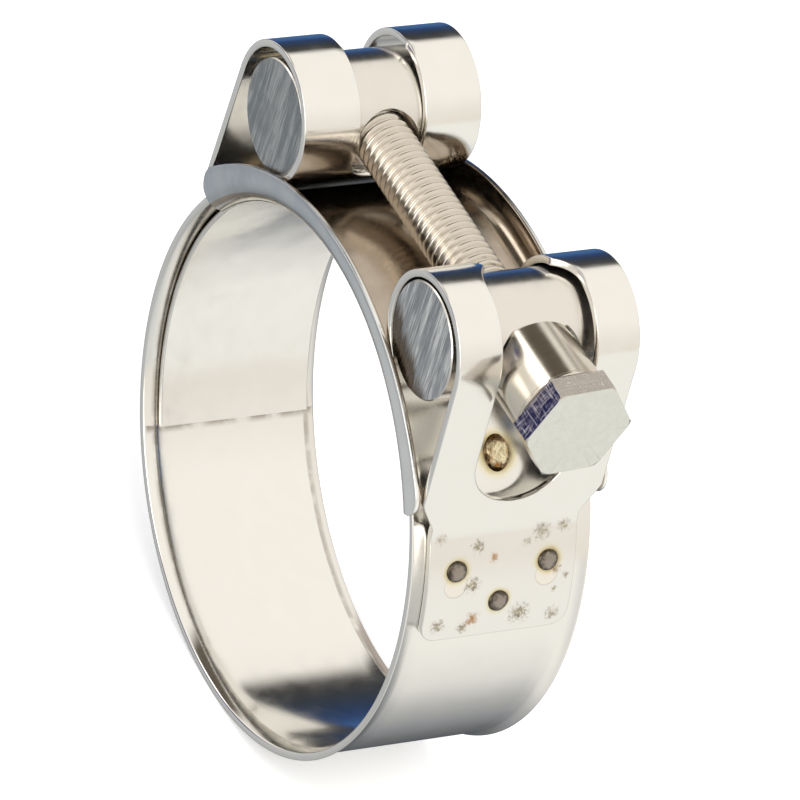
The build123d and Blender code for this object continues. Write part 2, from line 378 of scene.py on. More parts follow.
def strip_steel():
    """Bright strip with heat tint, weld marks and burn smudges on the tails."""
    material, tree, shader, place = start_material("bright_strip", 1.0)
    parts = add_node(tree, "ShaderNodeSeparateXYZ", {0: place})
    across = math_node(tree, "ABSOLUTE", parts.outputs[1])
    height = parts.outputs[2]
    flat = add_node(tree, "ShaderNodeCombineXYZ", {0: parts.outputs[0], 2: height})
    radius = add_node(
        tree, "ShaderNodeVectorMath", {0: flat.outputs[0]}, operation="LENGTH"
    ).outputs["Value"]
    on_tail = math_node(
        tree,
        "MULTIPLY",
        between(tree, radius, 0.0294, 0.0295),
        between(tree, across, 0.00835, 0.0080),
    )
    on_tail = math_node(tree, "MULTIPLY", on_tail, between(tree, height, 0.0152, 0.0136))
    on_tail = math_node(tree, "MULTIPLY", on_tail, between(tree, height, 0.0029, 0.0033))
    grain = add_node(
        tree,
        "ShaderNodeTexNoise",
        {"Vector": place, "Scale": 2900.0, "Detail": 6.0, "Roughness": 0.8},
    ).outputs["Fac"]
    cluster = add_node(
        tree, "ShaderNodeTexNoise", {"Vector": place, "Scale": 420.0, "Detail": 3.0}
    ).outputs["Fac"]
    tint = mix_colour(tree, cluster, (0.83, 0.815, 0.78), (0.88, 0.87, 0.84))
    dulled = 0.0
    for radius_out, angle, side, reach in (
        (TAIL_OUTER, WELD_ANGLE, -WELD_SIDE, 0.0019),
        (TAIL_OUTER, WELD_ANGLE, WELD_SIDE, 0.0020),
        (TAIL_OUTER, WELD_MIDDLE_ANGLE, 0.0, 0.0018),
        (RING_OUTER, ROOT_ANGLE, 0.0, 0.0030),
    ):
        near = use_group(
            tree,
            NEAR_SPOT,
            {"Vector": place, "Centre": weld_place(radius_out, angle, side), "Reach": reach},
        ).outputs[0]
        wobble = math_node(tree, "MULTIPLY_ADD", math_node(tree, "SUBTRACT", cluster, 0.5), 0.6, near)
        heat = math_node(tree, "MULTIPLY", wobble, near, clamp=True)
        rings = ramp_node(
            tree,
            heat,
            [
                (0.0, (1.0, 1.0, 1.0)),
                (0.06, (0.97, 0.94, 0.8)),
                (0.16, (0.72, 0.62, 0.38)),
                (0.27, (0.16, 0.12, 0.09)),
            ],
        )
        tint = mix_colour(tree, 1.0, tint, rings, "MULTIPLY")
    # Smudges of burnt oil: place across the tail, height, reach and strength
    burnt, ochre = 0.0, 0.0
    for side, level, reach, strength, kind in SMUDGES:
        angle = math.degrees(math.acos(level / TAIL_OUTER))
        near = use_group(
            tree,
            NEAR_SPOT,
            {
                "Vector": place,
                "Centre": weld_place(TAIL_OUTER, angle, side),
                "Reach": reach * MM,
            },
        ).outputs[0]
        patch = math_node(tree, "MULTIPLY_ADD", near, 0.34, grain)
        patch = between(tree, patch, 0.6, 0.84)
        patch = math_node(tree, "MULTIPLY", patch, math_node(tree, "MULTIPLY", near, 2.2, clamp=True))
        patch = math_node(tree, "MULTIPLY", patch, strength)
        if kind == "ochre":
            ochre = math_node(tree, "MAXIMUM", ochre, patch)
        else:
            burnt = math_node(tree, "MAXIMUM", burnt, patch)
    burnt = math_node(tree, "MULTIPLY", burnt, on_tail)
    ochre = math_node(tree, "MULTIPLY", ochre, on_tail)
    oil = mix_colour(tree, between(tree, grain, 0.4, 0.66), (0.5, 0.41, 0.22), (0.1, 0.07, 0.035))
    colour = mix_colour(tree, burnt, tint, oil)
    # Shallow marks of the electrode under the two upper spots
    dent = 0.0
    for side, level in ((-WELD_SIDE, 8.9), (WELD_SIDE, 9.0)):
        angle = math.degrees(math.acos(level / TAIL_OUTER))
        near = use_group(
            tree,
            NEAR_SPOT,
            {"Vector": place, "Centre": weld_place(TAIL_OUTER, angle, side), "Reach": 0.00135},
        ).outputs[0]
        dent = math_node(tree, "MAXIMUM", dent, near)
    line = math_node(tree, "MULTIPLY", between(tree, dent, 0.0, 0.06), between(tree, dent, 0.16, 0.08))
    line = math_node(tree, "MULTIPLY", line, math_node(tree, "MULTIPLY", on_tail, 0.22))
    dent = math_node(tree, "MULTIPLY", between(tree, dent, 0.0, 0.2), on_tail)
    colour = mix_colour(tree, line, colour, (0.42, 0.38, 0.3))
    bright = mix_colour(tree, 1.0, colour, (1.05, 1.01, 0.97), "MULTIPLY")
    colour = mix_colour(tree, dent, colour, bright)
    colour = mix_colour(tree, ochre, colour, (0.5, 0.27, 0.09))
    # Painted shade along the sheared end and the side edges of the tongue, inside the band, where the tongue's
    # step shades the band; broken up by noise
    turned = math_node(tree, "ARCTAN2", parts.outputs[0], height)
    tongue_end = math.radians(-TONGUE_END_ANGLE)
    seam = math_node(tree, "SUBTRACT", turned, tongue_end)
    inside = between(tree, radius, 0.02845, 0.0283)
    tongue_step_shade = math_node(
        tree,
        "MULTIPLY",
        between(tree, seam, -0.035, 0.0),
        between(tree, seam, 0.0045, 0.002),
    )
    tongue_step_shade = math_node(tree, "MULTIPLY", tongue_step_shade, math_node(tree, "MULTIPLY", inside, 0.8))
    tongue_side_shade = math_node(
        tree,
        "MULTIPLY",
        between(tree, across, 0.0084, 0.0086),
        between(tree, across, 0.0094, 0.0088),
    )
    tongue_side_shade = math_node(tree, "MULTIPLY", tongue_side_shade, math_node(tree, "MULTIPLY", inside, 0.55))
    tongue_step_shade = math_node(tree, "MAXIMUM", tongue_step_shade, tongue_side_shade)
    tongue_step_shade = math_node(tree, "MULTIPLY", tongue_step_shade, between(tree, cluster, 0.25, 0.6))
    # The tongue's painted shade, in dark brown
    colour = mix_colour(tree, tongue_step_shade, colour, (0.26, 0.22, 0.17))
    tree.links.new(colour, shader.inputs["Base Color"])
    worn = use_group(
        tree, WORKED_METAL, {"Vector": place, "Wave Scale": 110.0, "Patch Scale": 420.0}
    )
    lines = use_group(
        tree, FINE_LINES, {"Vector": place, "Stretch": (90.0, 9000.0, 90.0), "Contrast": 0.5}
    )
    rough = add_node(
        tree,
        "ShaderNodeMapRange",
        {
            "Value": worn.outputs["Patches"],
            "From Min": 0.3,
            "From Max": 0.7,
            "To Min": 0.1,
            "To Max": 0.18,
        },
    ).outputs["Result"]
    rough = math_node(tree, "MULTIPLY_ADD", math_node(tree, "MAXIMUM", burnt, ochre), 0.4, rough)
    rough = math_node(tree, "MULTIPLY_ADD", on_tail, 0.1, rough)
    tree.links.new(rough, shader.inputs["Roughness"])
    bump_from(
        tree,
        shader,
        [
            (worn.outputs["Wave"], 0.45, 0.00009),
            (lines.outputs["Height"], 0.3, 0.000002),
            (grain, math_node(tree, "MULTIPLY", burnt, 0.4), 0.00006),
            (math_node(tree, "SUBTRACT", 1.0, dent), 0.5, 0.00005),
        ],
    )
    return material


def channel_steel():
    """The bridge's strip: clean on the bore side, with painted shade in brown inside the channel under the
    bolt and bars.
    """
    material, tree, shader, place = start_material("channel_with_painted_shade", 1.0)
    parts = add_node(tree, "ShaderNodeSeparateXYZ", {0: place})
    across = math_node(tree, "ABSOLUTE", parts.outputs[1])
    flat = add_node(tree, "ShaderNodeCombineXYZ", {0: parts.outputs[0], 2: parts.outputs[2]})
    radius = add_node(
        tree, "ShaderNodeVectorMath", {0: flat.outputs[0]}, operation="LENGTH"
    ).outputs["Value"]
    cluster = add_node(
        tree, "ShaderNodeTexNoise", {"Vector": place, "Scale": 260.0, "Detail": 4.0}
    ).outputs["Fac"]
    clean = mix_colour(tree, cluster, (0.82, 0.81, 0.78), (0.88, 0.875, 0.85))
    # Painted shade and dark reflection of the bolt and bars, as brown on the channel's inside
    channel_painted_shade = mix_colour(tree, cluster, (0.3, 0.24, 0.18), (0.56, 0.48, 0.39))
    inside = math_node(
        tree,
        "MULTIPLY",
        between(tree, radius, 0.02755, 0.02775),
        between(tree, across, 0.01045, 0.01035),
    )
    # Painted reflection on the upright walls: bluer towards the nut side and paler towards the head
    upright = between(tree, across, 0.0101, 0.0104)
    wall_reflection_fade = between(tree, parts.outputs[0], -0.012, 0.024)
    wall = mix_colour(tree, wall_reflection_fade, (0.5, 0.545, 0.59), (0.93, 0.935, 0.92))
    mottled = between(tree, cluster, 0.34, 0.66)
    wall = mix_colour(tree, math_node(tree, "MULTIPLY", mottled, 0.22), wall, (0.9, 0.9, 0.88))
    clean = mix_colour(tree, upright, clean, wall)
    colour = mix_colour(tree, math_node(tree, "MULTIPLY", inside, 0.9), clean, channel_painted_shade)
    tree.links.new(colour, shader.inputs["Base Color"])
    worn = use_group(
        tree, WORKED_METAL, {"Vector": place, "Wave Scale": 150.0, "Patch Scale": 600.0}
    )
    rough = add_node(
        tree,
        "ShaderNodeMapRange",
        {
            "Value": worn.outputs["Patches"],
            "From Min": 0.3,
            "From Max": 0.7,
            "To Min": 0.14,
            "To Max": 0.27,
        },
    ).outputs["Result"]
    tree.links.new(rough, shader.inputs["Roughness"])
    bump_from(
        tree,
        shader,
        [(worn.outputs["Wave"], 0.7, 0.0003), (worn.outputs["Patches"], 0.4, 0.00004)],
    )
    return material


def sawn_steel():
    """Sawn end of a bar: upright scratches over dark and bright bands, dark brown low down."""
    material, tree, shader, place = start_material("sawn_end", 1.0)
    fine = use_group(
        tree,
        FINE_LINES,
        {"Vector": place, "Stretch": (7500.0, 300.0, 420.0), "Contrast": 0.35},
    )
    broad = use_group(
        tree,
        FINE_LINES,
        {"Vector": place, "Stretch": (1500.0, 150.0, 75.0), "Contrast": 0.2},
    )
    wide = add_node(
        tree,
        "ShaderNodeTexNoise",
        {"Vector": place, "Scale": 260.0, "Detail": 2.0},
    ).outputs["Fac"]
    tone = mix_colour(tree, broad.outputs["Mask"], (0.42, 0.44, 0.46), (1.0, 1.0, 0.98))
    tone = mix_colour(
        tree,
        math_node(tree, "MULTIPLY", between(tree, wide, 0.42, 0.62), 0.6),
        tone,
        (0.42, 0.44, 0.46),
    )
    tone = mix_colour(
        tree, math_node(tree, "MULTIPLY", fine.outputs["Mask"], 0.5), tone, (0.2, 0.2, 0.21)
    )
    # How far down towards the gap's side a point lies, as a share of the bar's radius
    parts = add_node(tree, "ShaderNodeSeparateXYZ", {0: place})
    right = math_node(tree, "SUBTRACT", parts.outputs[0], BAR_X * MM)
    up = math_node(tree, "SUBTRACT", parts.outputs[2], BAR_Z * MM)
    low = math_node(tree, "MULTIPLY", right, -0.5 / (BAR_RADIUS * MM))
    low = math_node(tree, "MULTIPLY_ADD", up, -0.86 / (BAR_RADIUS * MM), low)
    low = math_node(
        tree, "MULTIPLY_ADD", math_node(tree, "SUBTRACT", broad.outputs["Height"], 0.5), 1.1, low
    )
    # Darker brown towards the lower side, nearer the gap
    dark_low_down = math_node(tree, "MULTIPLY", between(tree, low, 0.3, 0.62), 0.95)
    dark_low_down = math_node(tree, "MULTIPLY", dark_low_down, between(tree, parts.outputs[0], 0.0, 0.005))
    tone = mix_colour(tree, dark_low_down, tone, (0.1, 0.07, 0.045))
    # Darker and bluer on the nut bar's end
    dulled = math_node(tree, "MULTIPLY", between(tree, parts.outputs[0], 0.0, -0.005), 0.55)
    tone = mix_colour(tree, dulled, tone, (0.2, 0.225, 0.235))
    tree.links.new(tone, shader.inputs["Base Color"])
    roughness_from(tree, shader, fine.outputs["Height"], 0.2, 0.36)
    bump_from(
        tree,
        shader,
        [
            (wide, 0.7, 0.0003),
            (broad.outputs["Height"], 0.8, 0.00009),
            (fine.outputs["Height"], 0.6, 0.000015),
        ],
    )
    return material


def head_steel():
    """Forged bolt head: a plain dull top, and flats with fine lines both ways."""
    material, tree, shader, place = start_material("forged_head", 1.0)
    along = use_group(
        tree,
        FINE_LINES,
        {"Vector": place, "Stretch": (420.0, 16000.0, 16000.0), "Contrast": 0.45},
    )
    cross = use_group(
        tree,
        FINE_LINES,
        {"Vector": place, "Stretch": (17000.0, 420.0, 420.0), "Contrast": 0.45},
    )
    worn = use_group(tree, WORKED_METAL, {"Vector": place, "Patch Scale": 1300.0})
    parts = add_node(tree, "ShaderNodeSeparateXYZ", {0: place})
    on_flats = between(tree, parts.outputs[0], (HEAD_TOP_X - 0.04) * MM, (HEAD_TOP_X - 0.12) * MM)
    scored = math_node(tree, "MAXIMUM", along.outputs["Mask"], cross.outputs["Mask"])
    scored = math_node(tree, "MULTIPLY", between(tree, scored, 0.45, 1.0), on_flats)
    flat_tone = mix_colour(tree, scored, (0.5, 0.46, 0.42), (1.0, 0.98, 0.95))
    top_tone = mix_colour(tree, worn.outputs["Patches"], (0.64, 0.65, 0.6), (0.8, 0.8, 0.76))
    tree.links.new(mix_colour(tree, on_flats, top_tone, flat_tone), shader.inputs["Base Color"])
    rough = math_node(tree, "MULTIPLY_ADD", worn.outputs["Patches"], 0.12, 0.09)
    rough = math_node(tree, "MULTIPLY_ADD", scored, 0.5, rough)
    tree.links.new(rough, shader.inputs["Roughness"])
    bump_from(
        tree,
        shader,
        [
            (worn.outputs["Wave"], 0.5, 0.00012),
            (worn.outputs["Patches"], 0.4, 0.00002),
            (scored, 0.25, 0.000006),
        ],
    )
    return material


def weld_metal(name, rim, core_with_highlight, spots, reach):
    """Cooled weld metal, dark at the rim, with a painted highlight lightening the middle."""
    material, tree, shader, place = start_material(name, 1.0)
    worn = use_group(
        tree, WORKED_METAL, {"Vector": place, "Wave Scale": 700.0, "Patch Scale": 1600.0}
    )
    middle = 0.0
    for radius, angle, side in spots:
        near = use_group(
            tree,
            NEAR_SPOT,
            {"Vector": place, "Centre": weld_place(radius, angle, side), "Reach": reach * MM},
        ).outputs[0]
        middle = math_node(tree, "MAXIMUM", middle, near)
    middle = math_node(
        tree, "MULTIPLY_ADD", math_node(tree, "SUBTRACT", worn.outputs["Patches"], 0.5), 0.9, middle
    )
    # Painted highlight: the core colour towards each spot's middle, the rim colour round it
    tone = mix_colour(tree, between(tree, middle, 0.15, 0.5), rim, core_with_highlight)
    tree.links.new(tone, shader.inputs["Base Color"])
    roughness_from(tree, shader, worn.outputs["Patches"], 0.16, 0.32)
    bump_from(
        tree,
        shader,
        [(worn.outputs["Wave"], 0.7, 0.0002), (worn.outputs["Patches"], 0.5, 0.00006)],
    )
    return material


STRIP = strip_steel()
CHANNEL = channel_steel()
BAR = turned_steel("turned_bar", (0.8, 0.77, 0.725), (120.0, 5200.0, 120.0), 0.14, 0.26, 0.000008)
SLEEVE = turned_steel("turned_sleeve", (0.78, 0.735, 0.66), (6500.0, 150.0, 150.0), 0.12, 0.24, 0.000009)
THREAD = turned_steel("rolled_thread", (0.72, 0.665, 0.585), (300.0, 300.0, 300.0), 0.2, 0.3, 0.000003)
SAWN = sawn_steel()
HEAD = head_steel()
# Spot welds: a dark rim and a grey-brown core that is a painted highlight
SPOT_WELD = weld_metal(
    "spot_weld",
    (0.085, 0.07, 0.055),
    (0.34, 0.3, 0.26),
    [
        (TAIL_OUTER, WELD_ANGLE, -WELD_SIDE),
        (TAIL_OUTER, WELD_ANGLE, WELD_SIDE),
        (TAIL_OUTER, WELD_MIDDLE_ANGLE, 0.0),
    ],
    1.25,
)
# Root weld: an orange-brown rim and a pale gold core, its colour partly real and partly a painted highlight
ROOT_WELD = weld_metal(
    "root_weld", (0.3, 0.16, 0.06), (0.86, 0.76, 0.52), [(RING_OUTER, ROOT_ANGLE, 0.0)], 1.9
)


# Mesh helpers


def make_piece(name, points, faces, materials, face_slots=None):
    """A mesh object at the origin from points in millimetres, welded and facing outwards."""
    mesh = bpy.data.meshes.new(name)
    mesh.from_pydata([(x * MM, y * MM, z * MM) for x, y, z in points], [], faces)
    for material in materials:
        mesh.materials.append(material)
    if face_slots:
        mesh.polygons.foreach_set("material_index", face_slots)
    piece = bpy.data.objects.new(name, mesh)
    bpy.context.scene.collection.objects.link(piece)
    shape = bmesh.new()
    shape.from_mesh(mesh)
    bmesh.ops.remove_doubles(shape, verts=shape.verts, dist=1e-7)
    bmesh.ops.dissolve_degenerate(shape, edges=shape.edges, dist=1e-8)
    bmesh.ops.recalc_face_normals(shape, faces=shape.faces)
    shape.to_mesh(mesh)
    shape.free()
    return piece


def bake_modifiers(piece):
    """The evaluated mesh as the piece's own, with no modifier left."""
    graph = bpy.context.evaluated_depsgraph_get()
    mesh = bpy.data.meshes.new_from_object(piece.evaluated_get(graph))
    piece.modifiers.clear()
    old = piece.data
    piece.data = mesh
    bpy.data.meshes.remove(old)
    mesh.name = piece.name


def shade_by_angle(piece, degrees=35.0):
    for polygon in piece.data.polygons:
        polygon.use_smooth = True
    piece.data.set_sharp_from_angle(angle=math.radians(degrees))


def edge_drop(distance, radius):
    """How far a rounded edge has fallen at this distance inside it."""
    if distance >= radius:
        return 0.0
    return radius - math.sqrt(max(radius**2 - (radius - distance) ** 2, 0.0))


def make_shell(name, sheet, faces, thickness, materials):
    """A closed wall from one face of a sheet. Each point has a way into the wall and a drop."""
    merged, new_index = [], []
    seen = {}
    for point, inward, drop in sheet:
        key = tuple(round(c, 4) for c in point)
        if key not in seen:
            seen[key] = len(merged)
            merged.append((point, inward, drop))
        new_index.append(seen[key])
    kept, uses = [], {}
    for face in faces:
        face = list(dict.fromkeys(new_index[i] for i in face))
        if len(face) < 3:
            continue
        kept.append(face)
        for k, first in enumerate(face):
            edge = (first, face[(k + 1) % len(face)])
            uses[tuple(sorted(edge))] = uses.get(tuple(sorted(edge)), []) + [edge]
    count = len(merged)
    points = []
    for side in (0, 1):
        for point, inward, drop in merged:
            depth = thickness - drop if side else drop
            points.append(tuple(point[i] + inward[i] * depth for i in range(3)))
    shapes = [tuple(face) for face in kept]
    shapes += [tuple(count + i for i in reversed(face)) for face in kept]
    for edges in uses.values():
        if len(edges) == 1:
            first, second = edges[0]
            shapes.append((second, first, count + first, count + second))
    piece = make_piece(name, points, shapes, materials)
    shade_by_angle(piece, 50.0)
    return piece


def strip_side():
    """One end of the strip's outer line, from the tail's end over the loop to the ring."""
    landing = around(TAIL_OUTER, LANDING_ANGLE)
    reach = math.hypot(landing[0] - LOOP_X, landing[1] - BAR_Z)
    strap = math.atan2(landing[1] - BAR_Z, landing[0] - LOOP_X) + math.acos(LOOP_OUTER / reach)
    top = (LOOP_X + LOOP_OUTER * math.cos(strap), BAR_Z + LOOP_OUTER * math.sin(strap))
    start = math.radians(270.0 - LEAVE_ANGLE)
    points = []
    fold_angle = LANDING_ANGLE + math.degrees(FOLD_REACH / TAIL_OUTER)
    for k in range(61):
        points.append(around(TAIL_OUTER, TAIL_END_ANGLE + (fold_angle - TAIL_END_ANGLE) * k / 60))
    length = math.hypot(top[0] - landing[0], top[1] - landing[1])
    way = ((top[0] - landing[0]) / length, (top[1] - landing[1]) / length)
    after = (landing[0] + way[0] * FOLD_REACH, landing[1] + way[1] * FOLD_REACH)
    before = points[-1]
    for k in range(1, 9):
        t = k / 9
        points.append(
            tuple(
                before[i] * (1 - t) ** 2 + 2 * landing[i] * t * (1 - t) + after[i] * t * t
                for i in (0, 1)
            )
        )
    for k in range(61):
        t = k / 60
        points.append(tuple(after[i] + (top[i] - after[i]) * t for i in (0, 1)))
    for k in range(1, 121):
        a = strap + (start - strap) * k / 120
        points.append((LOOP_X + LOOP_OUTER * math.cos(a), BAR_Z + LOOP_OUTER * math.sin(a)))
    leave = around(RING_INNER, LEAVE_ANGLE)
    last = points[-1]
    for k in range(1, 25):
        t = k / 24
        points.append(tuple(last[i] + (leave[i] - last[i]) * t for i in (0, 1)))
    return points


def round_end(rise, radius):
    """Half width of a slot with a round end, this far above the end."""
    if rise <= 0:
        return 0.0
    return radius if rise > radius else math.sqrt(radius**2 - (radius - rise) ** 2)


def slot_half(x, z, side_radius, window_bottom, spread):
    """Half width of a loop's slot here, grown all round by the spread."""
    half = 0.0
    if x > LOOP_X + LOOP_OUTER / 2:
        half = round_end(z - window_bottom + spread, side_radius + spread)
    if x < LOOP_X + 0.001:
        half = max(half, round_end(z - GAP_SLOT_BOTTOM + spread, BOLT_SLOT + spread))
    if z > BAR_Z:
        half = max(half, round_end(x - SLOT_LEAD_X + side_radius + spread, side_radius + spread))
    return half


def outer_half(z, on_strap, inset):
    """Half width of the strip here, less the inset: ring, strap, neck and tail."""
    if not on_strap:
        return BAND_HALF_WIDTH - inset
    if z >= NECK_BOTTOM:
        t = min((z - NECK_BOTTOM) / (NECK_TOP - NECK_BOTTOM), 1.0)
        eased = 0.7 * t + 0.3 * smooth(0.0, 1.0, t)
        return TAIL_HALF_WIDTH + (BAND_HALF_WIDTH - TAIL_HALF_WIDTH) * eased - inset
    rise = z - around(TAIL_OUTER, TAIL_END_ANGLE)[1]
    if rise >= TAIL_CORNER:
        return TAIL_HALF_WIDTH - inset
    reach = (TAIL_CORNER - inset) ** 2 - (TAIL_CORNER - rise) ** 2
    return TAIL_HALF_WIDTH - TAIL_CORNER + math.sqrt(max(reach, 0.0))


def add_marks(marks, line, is_here, value_of, targets):
    """Adds the places on the line where a value passes one of the targets."""
    for i in range(len(line) - 1):
        if not (is_here(line[i]) and is_here(line[i + 1])):
            continue
        low, high = value_of(line[i]), value_of(line[i + 1])
        for wanted in targets:
            if low != high and (low - wanted) * (high - wanted) <= 0:
                marks.append(i + (wanted - low) / (high - low))


def strip_places(side_radius, window_bottom):
    """Places along one end of the strip, close together where a slot or corner turns."""
    line = strip_side()
    tail_end = around(TAIL_OUTER, TAIL_END_ANGLE)[1]
    turns = [1 - math.cos(math.radians(90.0 * k / 14)) for k in range(15)]
    in_window = lambda p: p[0] > LOOP_X + LOOP_OUTER / 2 and p[1] < BAR_Z
    in_gap = lambda p: p[0] < LOOP_X and p[1] < BAR_Z + 2
    on_top = lambda p: p[1] > BAR_Z and p[0] < SLOT_LEAD_X
    on_tail = lambda p: p[0] > 25 and p[1] < NECK_BOTTOM
    height = lambda p: p[1]
    lead = SLOT_LEAD_X - side_radius
    marks = [float(i) for i in range(len(line))]
    for is_here, value_of, start, size, sign in (
        (in_window, height, window_bottom, side_radius, -1),
        (in_gap, height, GAP_SLOT_BOTTOM, BOLT_SLOT, -1),
        (on_top, lambda p: p[0], lead, side_radius, -1),
        (on_tail, height, tail_end, TAIL_CORNER, 1),
    ):
        targets = [start + size * t for t in turns] + [start + sign * d for d in EDGE_STEPS]
        add_marks(marks, line, is_here, value_of, targets)
    kept = []
    for mark in sorted(marks):
        i = min(int(mark), len(line) - 2)
        t = mark - i
        here = tuple(line[i][j] + (line[i + 1][j] - line[i][j]) * t for j in (0, 1))
        if not kept or math.hypot(here[0] - kept[-1][0], here[1] - kept[-1][1]) > 0.008:
            kept.append(here)
    return kept


def make_band():
    """The whole strip: tail, strap, loop, ring, loop, strap and tail."""
    places = []
    strap_x = LOOP_X + LOOP_OUTER / 2
    ends = ((1, SLEEVE_SLOT, HEAD_WINDOW_BOTTOM), (-1, BOLT_SLOT, NUT_WINDOW_BOTTOM))
    for sign, radius, bottom in ends:
        run = [(x, z, sign, radius, bottom, 0.0) for x, z in strip_places(radius, bottom)]
        if sign > 0:
            places += run
            steps = 200
            for k in range(1, steps):
                angle = LEAVE_ANGLE + (360 - 2 * LEAVE_ANGLE) * k / steps
                lead = min(angle - LEAVE_ANGLE, 360 - LEAVE_ANGLE - angle)
                places.append((*around(RING_INNER, angle), 0, 0, 0, smooth(0.0, 7.0, lead)))
        else:
            places += [(-run[i][0], *run[i][1:]) for i in range(len(run) - 1, -1, -1)]
    tail_end = around(TAIL_OUTER, TAIL_END_ANGLE)[1]
    radius = EDGE_STEPS[-1]
    middle = 6
    flare_rows = [FLARE_WIDTH, 1.15, 0.8, 0.5, 0.25] + EDGE_STEPS[::-1]
    sheet, faces, rows = [], [], 0
    for i, (x, z, sign, slot_radius, bottom, flare) in enumerate(places):
        before, after = places[max(i - 1, 0)], places[min(i + 1, len(places) - 1)]
        run = (after[0] - before[0], after[1] - before[1])
        length = math.hypot(*run)
        inward = (-run[1] / length, 0.0, run[0] / length)
        on_strap = sign != 0 and abs(x) > strap_x and z < 20
        from_end = z - tail_end if on_strap else 9.0
        slots = []
        if sign:
            for step in EDGE_STEPS:
                slots.append(slot_half(abs(x), z, slot_radius, bottom, step))
        else:
            slots = [0.0] * len(EDGE_STEPS)
        # Where the slot hasn't begun yet, the middle falls towards its round end
        first = next((k for k, half in enumerate(slots) if half > 0), None)
        section = []
        for k, half in enumerate(slots):
            drop = 0.0
            if first is not None:
                drop = edge_drop(EDGE_STEPS[max(k, first)], radius)
            section.append((half, 0.0, drop))
        width = outer_half(z, on_strap, 0.0)
        start = slots[-1]
        for k in range(1, middle):
            section.append((start + (width - FLARE_WIDTH - start) * k / middle, 0.0, 0.0))
        for edge in flare_rows:
            lift = FLARE_RISE * flare * (1 - edge / FLARE_WIDTH) ** 1.5
            section.append((outer_half(z, on_strap, edge), lift, edge_drop(edge, radius)))
        rows = len(section)
        for half in (1, -1):
            for y, lift, drop in section:
                drop = max(drop, edge_drop(max(from_end, 0.0), radius))
                point = (x + inward[0] * lift, half * y, z + inward[2] * lift)
                sheet.append((point, inward, drop))
    for i in range(len(places) - 1):
        for half in (0, 1):
            for row in range(rows - 1):
                a = (i * 2 + half) * rows + row
                b = a + 2 * rows
                face = (a, b, b + 1, a + 1)
                faces.append(face if half else face[::-1])
    return make_shell("looped_band", sheet, faces, BAND_THICKNESS, [STRIP])


def bridge_end(angle):
    """Angle at which the channel ends on this side of the gap."""
    return BRIDGE_HEAD_ANGLE if angle > 0 else BRIDGE_NUT_ANGLE


def wall_top(angle):
    """Radius of the bridge's side wall at this angle, rounded off at its ends."""
    a = math.radians(angle)
    top = BRIDGE_ARC_Z * math.cos(a) + math.sqrt(
        BRIDGE_ARC**2 - (BRIDGE_ARC_Z * math.sin(a)) ** 2
    )
    left = math.radians(bridge_end(angle) - abs(angle)) * 30.5
    if left < BRIDGE_CORNER:
        top -= BRIDGE_CORNER - math.sqrt(
            max(BRIDGE_CORNER**2 - (BRIDGE_CORNER - left) ** 2, 0.0)
        )
    return top


